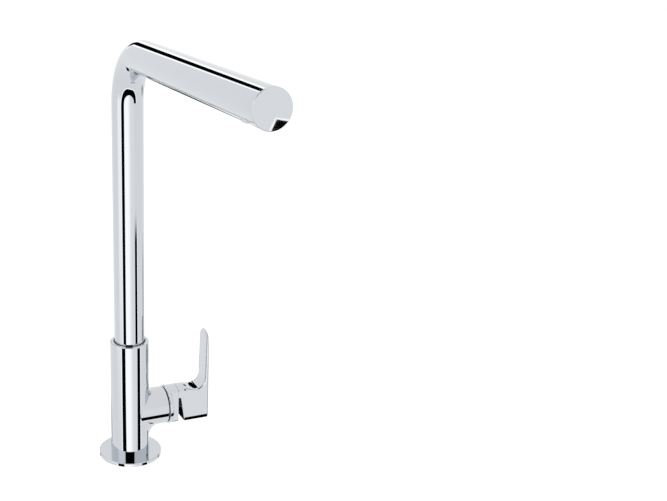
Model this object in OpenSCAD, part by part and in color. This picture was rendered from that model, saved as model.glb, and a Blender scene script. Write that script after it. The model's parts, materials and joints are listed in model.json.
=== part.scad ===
// Single-lever sink mixer with an angular swivel spout.
// Millimetres, +Z up. The origin is the middle of the flange underside, on the deck.
// The spout points along -Y and the valve housing with its lever along +X.

/* [Base] */
// Diameter of the round foot flange
flange_d = 53; // [48:0.5:70]
// Thickness of the foot flange
flange_t = 3; // [2.6:0.1:6]
// Bevel round the top edge of the flange
flange_bevel = 0.6; // [0.2:0.1:1.2]
// Diameter of the body spigot inside the flange
spigot_d = 30.4; // [28.6:0.2:31]
// Thickness of the sealing ring under the flange
seal_t = 1.6; // [1:0.1:2]

/* [Body] */
// Outer diameter of the upright body
body_d = 32.4; // [32:0.2:36]
// Outer diameter of the side housing, a little smaller
housing_d = 31.4; // [31:0.1:31.8]
// Height of the body's top rim above the deck
body_h = 104; // [98:1:130]
// Rounding of the body's top rim
rim_round = 0.9; // [0.3:0.1:1.5]
// Height of the side housing's axis above the deck
axis_h = 40; // [36:0.5:46]
// Distance from the body's axis to the end face of the side housing
housing_len = 30; // [28.5:0.5:34]
// Radius of the fillet under the side housing
web_fillet = 10; // [6:0.5:14]

/* [Spout] */
// Outer diameter of the spout tube
tube_d = 25; // [24.5:0.5:26]
// Wall of the spout tube
tube_wall = 1.5; // [1:0.1:1.6]
// Height of the level arm's axis above the deck
arm_h = 342; // [260:1:420]
// Radius of the bend, on the tube's axis
bend_r = 40; // [30:1:70]
// Distance from the body's axis to the end of the arm
arm_reach = 250.5; // [180:0.5:300]
// Distance from the end of the arm to the middle of the outlet
outlet_back = 15.5; // [14:0.5:30]
// Bevel round the arm's end
end_bevel = 0.5; // [0.2:0.1:1]
// Angle that the spout can turn to each side
swivel_max = 75; // [40:1:85]

/* [Outlet] */
// Outer diameter of the outlet socket
outlet_d = 20.4; // [20:0.1:20.8]
// Diameter of the outlet's thread
aerator_d = 18.5; // [17:0.1:19]
// Height of the outlet's rim above the arm's lowest line
outlet_inset = 3; // [2.6:0.1:3.6]

/* [Cartridge] */
// Outer diameter of the ceramic cartridge
cartridge_d = 26.6; // [26:0.1:26.8]
// Thickness of each ceramic disc
disc_t = 3; // [2.5:0.1:3.2]
// Distance from the body's axis to the lever's tilt pin
pin_x = 20; // [19.5:0.1:20.5]
// Width of the square lever stem
stem_w = 7; // [6:0.1:7.4]
// Largest tilt of the lever, fully open
tilt_max = 18; // [14:1:22]

/* [Lever] */
// Thickness of the turning cap's round disc
cap_disc = 3.5; // [3:0.1:4.5]
// Length of the cap with its flattened neck
cap_len = 10.1; // [9.4:0.1:10.8]
// Step by which the radius of cap and lever exceeds the body's
cap_step = 0.1; // [0:0.05:0.3]
// Distance from the body's axis to the outer face of the lever
lever_end = 68.4; // [66:0.2:76]
// Width of neck and lever across their flat sides
lever_w = 17; // [15:0.5:19]
// Height of the lever's tip above the housing axis
lever_tip = 66; // [50:1:90]
// Thickness of the upright blade at its root
blade_root = 3.1; // [2.6:0.1:4]
// Thickness of the upright blade at its tip
blade_tip = 2.2; // [1.8:0.1:2.6]
// Radius of the hollow between block and blade
scoop_r = 9.2; // [6.5:0.1:9.8]
// Depth of the block's floor below the housing axis
block_drop = 14.9; // [13.5:0.1:15.4]
// Radius of the curve that draws the block's sides in towards its floor
side_curve_r = 16; // [12:1:24]
// Height of that curve
side_curve_h = 4.2; // [3:0.1:5]
// Height of the tilt notch's top above the housing axis
notch_z = 7.5; // [6:0.1:8.5]
// Width of the tilt notch at its top
notch_w = 2.1; // [1.6:0.1:2.6]

/* [Fits] */
// Radial clearance of surfaces that turn on each other
running_gap = 0.08; // [0.05:0.01:0.1]
// Radial clearance of pieces that stay still in each other
static_gap = 0.05; // [0.02:0.01:0.1]
// Joint line between the cap's neck and the closed lever
lever_gap = 0.15; // [0.1:0.05:0.3]
// Groove between the housing and the turning cap
cap_gap = 0.8; // [0.5:0.1:1.2]

/* [Hidden] */
$fn = 96;
over = 1;             // how far a cutter runs past what it cuts
body_r = body_d / 2;
housing_r = housing_d / 2;
flange_r = flange_d / 2;
spigot_r = spigot_d / 2;
seal_in = spigot_r + 2;
seal_out = flange_r - 4;
seal_lift = 0.05;     // the seal stops just short of the underside

// Hose ports and stud hole in the spigot's end
port_x = -6.3;
port_y = 6.2;
port_r = 4.5;
port_depth = 12;
stud_x = 8;
stud_r = 3.4;
stud_depth = 16;
duct_x = -8.2;
duct_r = 2.4;
cross_r = 2.3;

web_half = 0.77 * body_r;   // half width of the web under the housing

// Cartridge cavity, along the housing axis
bore_r = cartridge_d / 2 + static_gap;
nut_r = 14;
nut_front = housing_len - 0.2;
nut_thread = 4;
cavity_back = -5;
base_len = 6;
disc_gap = 0.03;
fixed_x = cavity_back + base_len;
moving_x = fixed_x + disc_t + disc_gap;
carrier_x = moving_x + disc_t;
stem_arm = 8;         // from the tilt pin to the middle of the stem's ball
ball_x = pin_x - stem_arm;
ball_r = 2;
ball_gap = 0.2;
rotor_x = ball_x + 1.6;
shell_front = housing_len - nut_thread;
shell_in = cartridge_d / 2 - 1.2;
rotor_r = shell_in - running_gap;
lip_t = 1.2;
rotor_len = shell_front - lip_t - 0.2 - rotor_x;
fixed_r = shell_in - 0.4;
moving_r = 8.2;
carrier_r = 8.4;
carrier_len = ball_x + 0.9 - carrier_x;
hot_z = -4;
out_z = 6;
duct_top = axis_h + hot_z + cross_r + 0.5;
pin_r = 1.5;
pin_len = 2 * rotor_r - 1;
front_open = 11.8;    // opening of shell and nut for the rotor's neck

// Spout socket in the top of the body
web_t = 3.6;
socket_floor = axis_h + bore_r + web_t;
seal_bore_r = 11;
seal_bore_len = 19;
shoulder_z = socket_floor + seal_bore_len;
socket_r = tube_d / 2 + 0.9;
tube_r = tube_d / 2;
tube_in = tube_r - tube_wall;
thrust_t = 1.5;
axial_gap = 0.1;
journal_r = seal_bore_r - running_gap;
journal_bore = 7.5;
collar_z = shoulder_z + thrust_t + axial_gap;
collar_t = 2;
tube_z = collar_z + collar_t;
journal_top = tube_z + 14;
journal_low = socket_floor + 1.5;
oring_r = 0.9;
oring_floor = journal_r - 2 * oring_r - 0.05;
oring_z = [journal_low + 3, shoulder_z - 3];
stop_z = (oring_z[0] + oring_z[1]) / 2;
stop_r = 2;
stop_tip = journal_r - 1.6;
slot_h = 2 * stop_r + 0.6;
slot_depth = 2;
slot_half = swivel_max + asin((stop_r + 0.3) / stop_tip);
bush_len = 6;
lower_bush_z = tube_z + 0.5;
upper_bush_z = body_h - bush_len - 0.6;

// Outlet in the arm
outlet_r = outlet_d / 2;
outlet_y = -(arm_reach - outlet_back);
outlet_z = arm_h - tube_r + outlet_inset;
outlet_h = tube_r - outlet_inset + sqrt(pow(tube_in, 2) - pow(outlet_r, 2)) - 0.4;
aerator_r = aerator_d / 2;
aerator_h = 7;
washer_t = 1.5;
cap_t = 3;
cap_plug = 4;

// Turning cap and lever
cap_r = body_r + cap_step;
cap_x = housing_len + cap_gap;
cap_front = cap_x + cap_len;
cap_round = 0.8;
neck_r = front_open - 0.5;
neck_half = lever_w / 2 - 1.2;
neck_end = cap_front - 3.6;
seal_mid = 14.6;
seal_cord = 0.5;
lever_x = cap_front + lever_gap;
notch_past = 9.8;     // angle by which the leaning face passes the upright one, fully open
notch_lean = tilt_max - notch_past;
notch_round = 0.8;
swing_gap = 0.6;
swing_low = (cap_front - pin_x) * tan(tilt_max) + stem_w / 2 / cos(tilt_max) + swing_gap;
face_x = lever_end - blade_root;
flat_top = sqrt(pow(cap_r, 2) - pow(lever_w / 2, 2));
scoop_x = face_x - scoop_r;
scoop_z = flat_top - 0.3 + scoop_r;
stem_end = lever_end - 12;
screw_x = stem_end - 6;
screw_r = 2.5;
plug_r = 3.2;
plug_t = 2;
dot_r = 0.8;
dot_x = lever_x + 6;
dot_angle = asin(flat_top / cap_r) + 3.4;

// ---- shared shapes ----

// A straight rod along the housing axis, from x0 to x1
module rod_x(x0, x1, r, y = 0, z = 0) {
    translate([x0, y, axis_h + z]) rotate([0, 90, 0]) cylinder(h = x1 - x0, r = r);
}

// A tube along the housing axis
module tube_x(x0, x1, r, hole) {
    difference() {
        rod_x(x0, x1, r);
        rod_x(x0 - over, x1 + over, hole);
    }
}

// An upright rod from z0 to z1
module rod_z(z0, z1, r, x = 0, y = 0) {
    translate([x, y, z0]) cylinder(h = z1 - z0, r = r);
}

// An upright tube
module tube_z(z0, z1, r, hole) {
    difference() {
        rod_z(z0, z1, r);
        rod_z(z0 - over, z1 + over, hole);
    }
}

// Half section of a round bar of length h whose far edge is rounded by f
module rounded_half(r, h, f) {
    square([r, h - f]);
    square([r - f, h]);
    translate([r - f, h - f]) circle(f);
}

// A sealing ring round the Z axis, in the plane z = 0
module o_ring(middle_r, cord_r) {
    rotate_extrude() translate([middle_r, 0]) circle(cord_r, $fn = 24);
}

// ---- base ----

// Thin round flange that covers the tap hole
module base_flange() {
    color("gainsboro") difference() {
        rotate_extrude() polygon([[0, 0], [flange_r, 0], [flange_r, flange_t - flange_bevel],
            [flange_r - flange_bevel, flange_t], [0, flange_t]]);
        rod_z(-over, flange_t + over, spigot_r + static_gap);
        translate([0, 0, -over]) difference() {
            cylinder(h = seal_t + over, r = seal_out + static_gap);
            cylinder(h = seal_t + over, r = seal_in - static_gap);
        }
    }
}

// Flat rubber ring in the groove under the flange
module base_seal() {
    color("dimgray") tube_z(seal_lift, seal_t, seal_out, seal_in);
}

// ---- body ----

// Brass body: upright barrel, side housing and the rounded web under it
module body_casting() {
    color("silver") difference() {
        union() {
            translate([0, 0, flange_t])
                rotate_extrude() rounded_half(body_r, body_h - flange_t, rim_round);
            rod_z(0, flange_t + over, spigot_r);
            rod_x(0, housing_len, housing_r);
            body_web();
        }
        spout_socket();
        cartridge_cavity();
        water_ducts();
        rod_z(-over, stud_depth, stud_r, stud_x);
        stop_screw_hole();
    }
}

// Web that rounds the corner between barrel and housing from below
module body_web() {
    ring_r = web_half + web_fillet + 0.05;
    translate([body_r + web_fillet, 0, axis_h - housing_r - web_fillet])
        rotate([90, 0, 0]) rotate([0, 0, 90])
            rotate_extrude(angle = 90) translate([ring_r, 0]) circle(web_half);
}

// Stepped bore that holds the spout's journal and bushes
module spout_socket() {
    rod_z(socket_floor, body_h + over, seal_bore_r);
    rod_z(shoulder_z, body_h + over, socket_r);
}

// Bore of the cartridge with the nut's thread at its mouth
module cartridge_cavity() {
    rod_x(cavity_back, housing_len + over, bore_r);
    rod_x(shell_front, housing_len + over, nut_r);
}

// Hot, cold and mixed water: ports below, ducts behind the cartridge
module water_ducts() {
    for (side = [-1, 1]) {
        rod_z(-over, port_depth, port_r, port_x, side * port_y);
        rod_z(port_depth - over, duct_top, duct_r, duct_x, side * port_y);
        rod_x(duct_x, cavity_back + over, cross_r, side * port_y, hot_z);
    }
    rod_x(duct_x, cavity_back + over, cross_r, 0, out_z);
    rod_z(axis_h + out_z - cross_r, socket_floor + over, duct_r, duct_x);
}

// Threaded hole at the back of the body for the spout's stop screw
module stop_screw_hole() {
    translate([0, 0, stop_z]) rotate([-90, 0, 0]) cylinder(h = body_r + over, r = stop_r + static_gap);
}

// Grub screw whose tip runs in the journal's slot
module spout_stop_screw() {
    color("dimgray") translate([0, stop_tip, stop_z]) rotate([-90, 0, 0]) difference() {
        cylinder(h = body_r - 0.6 - stop_tip, r = stop_r);
        translate([0, 0, body_r - 0.6 - stop_tip - 1.8]) cylinder(h = 1.8 + over, r = 1.15, $fn = 6);
    }
}

// Plastic washer that carries the spout's weight
module spout_thrust_washer() {
    color("ivory") tube_z(shoulder_z, shoulder_z + thrust_t, socket_r - static_gap, seal_bore_r + 0.3);
}

// Plastic slide ring low in the socket
module spout_lower_bush() {
    color("ivory") tube_z(lower_bush_z, lower_bush_z + bush_len, socket_r - static_gap,
        tube_r + running_gap);
}

// Plastic slide ring just below the rim
module spout_upper_bush() {
    color("ivory") tube_z(upper_bush_z, upper_bush_z + bush_len, socket_r - static_gap,
        tube_r + running_gap);
}

// ---- cartridge ----

// The three water ports, as rods of radius r from x0 to x1
module port_rods(x0, x1, r) {
    for (side = [-1, 1]) rod_x(x0, x1, r, side * port_y, hot_z);
    rod_x(x0, x1, r, 0, out_z);
}

// Plastic foot of the cartridge with its three ports
module cartridge_base() {
    color("whitesmoke") difference() {
        rod_x(cavity_back + 0.1, fixed_x, cartridge_d / 2);
        port_rods(cavity_back - over, fixed_x + over, cross_r);
        port_rods(cavity_back - over, cavity_back + 1.1, cross_r + 1.2);
    }
}

// Three rubber rings that seal the ports to the body
module cartridge_port_seals() {
    color("black") for (p = [[-port_y, hot_z], [port_y, hot_z], [0, out_z]])
        translate([cavity_back + 0.56, p[0], axis_h + p[1]]) rotate([0, 90, 0])
            o_ring(cross_r + 0.6, 0.5);
}

// Fixed ceramic disc with its three openings
module fixed_disc() {
    color("white") difference() {
        rod_x(fixed_x, fixed_x + disc_t, fixed_r);
        port_rods(fixed_x - over, fixed_x + disc_t + over, cross_r);
    }
}

// Moving ceramic disc: a blind mixing pocket faces the fixed disc
module moving_disc() {
    color("white") difference() {
        rod_x(moving_x, moving_x + disc_t, moving_r);
        rod_x(moving_x - over, moving_x + disc_t / 2, moving_r - 3, 0, -2);
    }
}

// Plastic carrier that the stem's ball pushes up and down
module disc_carrier() {
    color("tomato") difference() {
        rod_x(carrier_x, carrier_x + carrier_len, carrier_r);
        rod_x(ball_x - ball_r - ball_gap, carrier_x + carrier_len + over, ball_r + ball_gap);
    }
}

// Turning guide: holds the tilt pin, and its flattened neck drives the cap
module cartridge_rotor() {
    slot_w = stem_w + swing_gap;
    rotor_front = rotor_x + rotor_len;
    color("tomato") difference() {
        union() {
            rod_x(rotor_x, rotor_front, rotor_r);
            rotor_neck(rotor_x, neck_end, 0);
        }
        translate([rotor_x - over, -slot_w / 2, axis_h - shell_in + 4])
            cube([rotor_len + 2 * over, slot_w, 2 * (shell_in - 4)]);
        translate([rotor_front - over, -slot_w / 2, axis_h - neck_r - over])
            cube([neck_end - rotor_front + 2 * over, slot_w, neck_r + over + stem_w / 2 + swing_gap]);
        tilt_pin_shape(pin_r, pin_len);
    }
}

// Neck with two drive flats, from x0 to x1, larger by gap all round
module rotor_neck(x0, x1, gap) {
    half = neck_half + gap;
    intersection() {
        rod_x(x0, x1, neck_r + gap);
        translate([x0 - over, -half, axis_h - cap_r]) cube([x1 - x0 + 2 * over, 2 * half, 2 * cap_r]);
    }
}

// Cross pin on which the lever tilts
module tilt_pin_shape(r, len) {
    translate([pin_x, -len / 2, axis_h]) rotate([-90, 0, 0]) cylinder(h = len, r = r);
}
module tilt_pin() {
    color("gray") tilt_pin_shape(pin_r, pin_len);
}

// Slot in the cap's front wall that lets the stem swing down
module stem_slot() {
    slot_w = stem_w + swing_gap;
    translate([neck_end - over, -slot_w / 2, axis_h - swing_low])
        cube([cap_front - neck_end + 2 * over, slot_w, swing_low + stem_w / 2 + swing_gap]);
}

// Plastic shell round the discs, the carrier and the rotor
module cartridge_shell() {
    color("whitesmoke") difference() {
        rod_x(fixed_x, shell_front, cartridge_d / 2);
        rod_x(fixed_x - over, shell_front - lip_t, shell_in);
        rod_x(shell_front - lip_t - over, shell_front + over, front_open);
    }
}

// Brass ring nut that clamps the cartridge, with two wrench notches
module cartridge_nut() {
    color("goldenrod") difference() {
        rod_x(shell_front, nut_front, nut_r - static_gap);
        rod_x(shell_front - over, nut_front + over, front_open);
        translate([nut_front - 1.5, -nut_r, axis_h - 1.5]) cube([1.5 + over, 2 * nut_r, 3]);
    }
}

// Chromed cap that turns with the lever: round disc with a flattened neck
module turning_cap() {
    color("silver") difference() {
        union() {
            translate([cap_x, 0, axis_h]) rotate([0, 90, 0])
                rotate_extrude() rounded_half(cap_r, cap_disc, cap_round);
            intersection() {
                rod_x(cap_x, cap_front, cap_r);
                translate([cap_x, -lever_w / 2, axis_h - cap_r]) cube([cap_len, lever_w, 2 * cap_r]);
            }
        }
        rotor_neck(cap_x - over, neck_end + static_gap, static_gap);
        stem_slot();
        difference() {
            rod_x(cap_x - over, cap_x + 2 * seal_cord - 0.1, seal_mid + seal_cord + 0.1);
            rod_x(cap_x - 2 * over, cap_x + 2 * over, seal_mid - seal_cord - 0.1);
        }
    }
}

// Rubber ring behind the cap that keeps water out of the groove
module cap_seal() {
    color("black") translate([cap_x + seal_cord - 0.2, 0, axis_h]) rotate([0, 90, 0])
        o_ring(seal_mid, seal_cord);
}

// ---- spout ----

// Tube: upright leg, bend and level arm, with the outlet's opening
module spout_tube() {
    color("silver") difference() {
        tube_run(tube_r);
        tube_run(tube_in, over);
        rod_z(arm_h - tube_r - over, arm_h, outlet_r + static_gap, 0, outlet_y);
    }
}

// Solid run of the spout's outline at radius r, longer by extra at both ends
module tube_run(r, extra = 0) {
    rod_z(tube_z - extra, arm_h - bend_r, r);
    translate([0, -bend_r, arm_h - bend_r]) rotate([90, 0, 90])
        rotate_extrude(angle = 90) translate([bend_r, 0]) circle(r);
    translate([0, -bend_r, arm_h]) rotate([90, 0, 0])
        cylinder(h = arm_reach - cap_t - bend_r + extra, r = r);
}

// Brass journal at the spout's foot: seals below, tube brazed on above
module spout_journal() {
    color("goldenrod") difference() {
        union() {
            rod_z(journal_low, collar_z, journal_r);
            rod_z(collar_z, tube_z, tube_r);
            rod_z(tube_z - over, journal_top, tube_in);
        }
        rod_z(journal_low - over, journal_top + over, journal_bore);
        for (z = oring_z) tube_z(z - oring_r - 0.1, z + oring_r + 0.1, journal_r + over, oring_floor);
        stop_slot();
    }
}

// Slot at the back of the journal that limits the spout's turn
module stop_slot() {
    translate([0, 0, stop_z]) rotate([0, 0, 90 - slot_half])
        rotate_extrude(angle = 2 * slot_half)
            translate([journal_r - slot_depth, -slot_h / 2]) square([slot_depth + over, slot_h]);
}

// Two seals of the journal
module spout_o_rings() {
    color("black") for (z = oring_z)
        translate([0, 0, z]) o_ring(journal_r - oring_r + 0.05, oring_r - 0.05);
}

// Disc that closes the arm's end
module spout_end_cap() {
    color("silver") translate([0, -(arm_reach - cap_t), arm_h]) rotate([90, 0, 0]) {
        rotate_extrude() polygon([[0, 0], [tube_r, 0], [tube_r, cap_t - end_bevel],
            [tube_r - end_bevel, cap_t], [0, cap_t]]);
        translate([0, 0, -plug_len()]) cylinder(h = plug_len() + 0.5, r = tube_in - static_gap);
    }
}
// The cap's plug ends before the outlet socket
function plug_len() = min(cap_plug, outlet_back - cap_t - outlet_r - 0.4);

// Socket in the arm that takes the aerator
module outlet_socket() {
    color("goldenrod") translate([0, outlet_y, outlet_z]) difference() {
        cylinder(h = outlet_h, r = outlet_r);
        translate([0, 0, -over]) cylinder(h = aerator_h + washer_t + over, r = aerator_r);
        translate([0, 0, aerator_h]) cylinder(h = outlet_h, r = aerator_r - 2.5);
    }
}

// Threaded ring of the aerator
module aerator_housing() {
    color("silver") translate([0, outlet_y, outlet_z]) difference() {
        cylinder(h = aerator_h, r = aerator_r - static_gap);
        translate([0, 0, 1.2]) cylinder(h = aerator_h, r = aerator_r - 1.4);
        translate([0, 0, -over]) cylinder(h = aerator_h, r = aerator_r - 2.2);
    }
}

// Plastic jet former inside the ring
module aerator_insert() {
    insert_r = aerator_r - 1.4 - static_gap;
    color("whitesmoke") translate([0, outlet_y, outlet_z + 2.4]) difference() {
        cylinder(h = aerator_h - 2.6, r = insert_r);
        for (a = [0:45:315]) rotate([0, 0, a]) translate([insert_r * 0.66, 0, -over])
            cylinder(h = aerator_h, r = 1.1);
        translate([0, 0, -over]) cylinder(h = aerator_h, r = 1.5);
    }
}

// Fine disc with ring slots that straightens the jet
module aerator_screen() {
    screen_r = aerator_r - 1.4 - static_gap;
    color("lightgray") translate([0, outlet_y, outlet_z + 1.25]) difference() {
        cylinder(h = 1.1, r = screen_r);
        for (ring = [1:3]) for (i = [0 : 6 * ring - 1])
            rotate([0, 0, i * 60 / ring]) translate([ring * screen_r / 4.2, 0, -over])
                cylinder(h = 1.1 + 2 * over, r = 0.55, $fn = 16);
    }
}

// Flat washer above the aerator
module aerator_washer() {
    color("black") translate([0, outlet_y, outlet_z + aerator_h + 0.05]) difference() {
        cylinder(h = washer_t - 0.1, r = aerator_r - static_gap);
        translate([0, 0, -over]) cylinder(h = washer_t + 2 * over, r = aerator_r - 2.5);
    }
}

// ---- lever ----

// Square stem with the pin's hole and the ball that moves the disc
module lever_stem() {
    block_x = pin_x - 4.2;
    color("goldenrod") difference() {
        union() {
            translate([block_x, -stem_w / 2, axis_h - stem_w / 2])
                cube([stem_end - block_x, stem_w, stem_w]);
            rod_x(ball_x, block_x + over, 1.5);
            translate([ball_x, 0, axis_h]) sphere(ball_r);
        }
        tilt_pin_shape(pin_r + running_gap, stem_w + 2 * over);
    }
}

// Lever: block flush with the cap's neck, notched below for the tilt, and an upright blade
module lever_handle() {
    color("silver") difference() {
        intersection() {
            translate([0, lever_w / 2, axis_h]) rotate([90, 0, 0])
                linear_extrude(height = lever_w) lever_side();
            lever_front();
            union() {
                rod_x(lever_x - over, scoop_x + over, cap_r);
                translate([scoop_x, -lever_w, 0]) cube([lever_end, 2 * lever_w, axis_h + lever_tip]);
            }
        }
        stem_pocket();
        screw_hole();
        dot_shape(dot_r + static_gap, over);
    }
}

// Side view of the lever in X and Z, about the housing axis
module lever_side() {
    difference() {
        union() {
            translate([lever_x, -block_drop]) square([lever_end - lever_x, block_drop + flat_top]);
            translate([lever_x, 0]) square([scoop_x - lever_x + over, cap_r]);
            polygon([[scoop_x, 0], [lever_end, 0], [lever_end, lever_tip],
                [lever_end - blade_tip, lever_tip], [face_x, scoop_z], [scoop_x, scoop_z]]);
        }
        translate([scoop_x, scoop_z]) circle(scoop_r);
        tilt_notch();
    }
}

// Notch under the block: upright towards the cap, leaning towards the blade
module tilt_notch() {
    low = -block_drop - over;
    top_x = lever_x + notch_w;
    lean_x = top_x + (notch_z - low) * tan(notch_lean);
    polygon([[lever_x - over, low], [lean_x, low], [top_x, notch_z - notch_round],
        [top_x - notch_round, notch_z], [lever_x - over, notch_z]]);
    translate([top_x - notch_round, notch_z - notch_round]) circle(notch_round);
}

// Front view of the lever: round tip, flat sides that curve in a little towards the floor
module lever_front() {
    half_w = lever_w / 2;
    long = lever_end + over;
    turn_y = half_w - side_curve_r;
    turn_z = side_curve_h - block_drop;
    translate([0, 0, axis_h]) {
        translate([0, -half_w, turn_z]) cube([long, lever_w, lever_tip - half_w - turn_z]);
        intersection() {
            translate([0, -half_w, -block_drop]) cube([long, lever_w, side_curve_h + over]);
            translate([0, turn_y, turn_z]) rotate([0, 90, 0]) cylinder(h = long, r = side_curve_r);
            translate([0, -turn_y, turn_z]) rotate([0, 90, 0]) cylinder(h = long, r = side_curve_r);
        }
        translate([0, 0, lever_tip - half_w]) rotate([0, 90, 0]) cylinder(h = long, r = half_w);
    }
}

// Square pocket for the stem
module stem_pocket() {
    w = stem_w + 2 * static_gap;
    translate([lever_x - over, -w / 2, axis_h - w / 2]) cube([stem_end + 0.3 - lever_x + over, w, w]);
}

// Hole of the grub screw and its plug under the block
module screw_hole() {
    rod_z(axis_h - block_drop - over, axis_h, screw_r + static_gap, screw_x);
    rod_z(axis_h - block_drop - over, axis_h - block_drop + plug_t, plug_r + static_gap, screw_x);
}

// Grub screw that clamps the lever on the stem
module lever_grub_screw() {
    top = axis_h - stem_w / 2;
    color("dimgray") difference() {
        rod_z(top - 6, top, screw_r, screw_x);
        translate([screw_x, 0, top - 6 - over]) cylinder(h = 2.5 + over, r = 1.45, $fn = 6);
    }
}

// Small plug that hides the screw
module lever_screw_plug() {
    color("lightgray")
        rod_z(axis_h - block_drop + 0.1, axis_h - block_drop + plug_t - 0.1, plug_r, screw_x);
}

// Small dark index dot on the block, just above its front flat
module dot_shape(r, out) {
    translate([dot_x, 0, axis_h]) rotate([-90 - dot_angle, 0, 0])
        translate([0, 0, -cap_r - out]) cylinder(h = 1.2 + out, r = r);
}
module lever_index_dot() {
    color("black") dot_shape(dot_r, -0.05);
}

base_flange();
base_seal();
body_casting();
spout_thrust_washer();
spout_lower_bush();
spout_upper_bush();
spout_stop_screw();
cartridge_base();
cartridge_port_seals();
fixed_disc();
cartridge_shell();
cartridge_nut();
turning_cap();
cap_seal();
spout_tube();
spout_journal();
spout_o_rings();
spout_end_cap();
outlet_socket();
aerator_housing();
aerator_insert();
aerator_screen();
aerator_washer();
cartridge_rotor();
tilt_pin();
disc_carrier();
moving_disc();
lever_stem();
lever_handle();
lever_grub_screw();
lever_screw_plug();
lever_index_dot();
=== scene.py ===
import bmesh
import bpy
import json
import math
import numpy as np
from mathutils import Matrix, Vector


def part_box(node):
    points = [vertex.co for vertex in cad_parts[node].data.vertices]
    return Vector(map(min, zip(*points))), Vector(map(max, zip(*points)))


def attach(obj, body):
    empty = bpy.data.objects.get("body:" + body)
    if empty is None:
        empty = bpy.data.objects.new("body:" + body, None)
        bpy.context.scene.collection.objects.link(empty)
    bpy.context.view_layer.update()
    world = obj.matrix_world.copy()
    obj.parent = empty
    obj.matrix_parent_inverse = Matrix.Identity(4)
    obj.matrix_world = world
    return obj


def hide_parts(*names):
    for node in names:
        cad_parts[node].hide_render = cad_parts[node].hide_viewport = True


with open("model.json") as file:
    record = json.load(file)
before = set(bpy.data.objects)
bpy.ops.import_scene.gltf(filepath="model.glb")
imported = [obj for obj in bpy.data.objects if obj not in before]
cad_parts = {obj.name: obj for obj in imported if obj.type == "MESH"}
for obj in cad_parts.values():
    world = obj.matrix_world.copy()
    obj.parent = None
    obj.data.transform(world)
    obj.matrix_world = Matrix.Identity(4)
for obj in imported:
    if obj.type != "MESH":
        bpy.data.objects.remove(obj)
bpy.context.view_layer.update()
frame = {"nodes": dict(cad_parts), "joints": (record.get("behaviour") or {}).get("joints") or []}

# ---- Camera ----
# Seen from the left and a little above, as in the photograph. The frame was widened to the right
# of the mixer, so the optical centre lies left of the middle and the lens is shifted by that much.
MM = 0.001
view = bpy.data.cameras.new("view")
view.sensor_width = 36
view.lens = 55.61
view.shift_x = 0.2674
camera = bpy.data.objects.new("view", view)
camera.location = (-0.24654, -0.74843, 0.44640)
camera.rotation_euler = (math.radians(71.488), 0, math.radians(-19.781))
bpy.context.scene.collection.objects.link(camera)
bpy.context.scene.camera = camera
bpy.context.scene.view_settings.view_transform = "Standard"

# ---- Studio ----
# White floor and backdrop. The chrome sees a pale grey room with a black horseshoe frame round
# a white board in front, and a narrow black board behind, which draw the dark lines on the tubes.


def add(tree, kind, settings=None, **sockets):
    """New node of that kind. A socket's value is a number, a colour or another node's output."""
    node = tree.nodes.new(kind)
    for key, value in (settings or {}).items():
        setattr(node, key, value)
    for key, value in sockets.items():
        name = key.replace("_", " ")
        slot = node.inputs[int(key[1:])] if key[1:].isdigit() else node.inputs[name]
        if isinstance(value, bpy.types.NodeSocket):
            tree.links.new(value, slot)
        else:
            slot.default_value = value
    return node


def calc(tree, operation, *values):
    """Output of a math node."""
    sockets = {f"n{i}": value for i, value in enumerate(values)}
    return add(tree, "ShaderNodeMath", {"operation": operation}, **sockets).outputs[0]


def soft_step(tree, value, low, high):
    """0 below low, 1 above high, smooth between."""
    node = add(tree, "ShaderNodeMapRange", {"interpolation_type": "SMOOTHSTEP"},
               Value=value, From_Min=low, From_Max=high)
    return node.outputs["Result"]


def between(tree, value, low, high, edge):
    """1 from low to high, falling to 0 over edge outside them."""
    rise = soft_step(tree, value, low - edge, low)
    fall = soft_step(tree, value, high, high + edge)
    return calc(tree, "MULTIPLY", rise, calc(tree, "SUBTRACT", 1, fall))


def arch(tree, turn, tilt, middle, half_width, drop, power):
    """Distance from the edge of a rounded bow that hangs below BOW_TILT, with straight legs above."""
    aside = calc(tree, "SUBTRACT", turn, middle)
    across = calc(tree, "ABSOLUTE", calc(tree, "DIVIDE", aside, half_width))
    below = calc(tree, "MAXIMUM", calc(tree, "SUBTRACT", BOW_TILT, tilt), 0)
    down = calc(tree, "DIVIDE", below, drop)
    total = calc(tree, "ADD", calc(tree, "POWER", across, power), calc(tree, "POWER", down, power))
    return calc(tree, "POWER", total, 1 / power)


def paint(tree, level, mask, new_level):
    """Level, changed to new_level where the mask is 1."""
    mixed = add(tree, "ShaderNodeMix", {"data_type": "FLOAT"}, Factor=mask, n2=level, n3=new_level)
    return mixed.outputs[0]


def patch(tree, level, new_level, angle, left, right, low, high, edge):
    """Level with a soft-edged rectangle of directions painted in."""
    across = between(tree, angle, left, right, edge)
    upwards = between(tree, tilt, low, high, edge)
    return paint(tree, level, calc(tree, "MULTIPLY", across, upwards), new_level)


# Brightness of the room's parts. Their places are in degrees: turn counts from the front and
# back_turn from the back, both towards the right, and tilt counts up from level.
ROOM, LEFT_GLOW, BOARD_RIGHT, BOARD_LEFT, RIM, BLACK = 1.0, 1.3, 1.06, 1.5, 1.55, 0.0
AMBIENT, BACKGROUND = 0.5, 1.0           # what lights matt pieces, and what the camera sees
BOW_TILT, LEG_TOP = -24, 8               # the frame's legs stand between these
INNER_BOW = (-7.5, 35.5, 21, 1.8)        # middle, half width, drop and squareness
OUTER_BOW = (-9, 56, 41, 2.9)
INNER_EDGE, OUTER_EDGE, RIM_EDGE = (0.98, 1.02), (0.985, 1.015), (1.05, 1.10)
GAP_TURN, GAP_TILT = (5, 8), (-18.5, -16.5)    # right of and above these, the right leg is cut away
BOARD_FADE = (8, -22)                    # the board brightens from right to left

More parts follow.
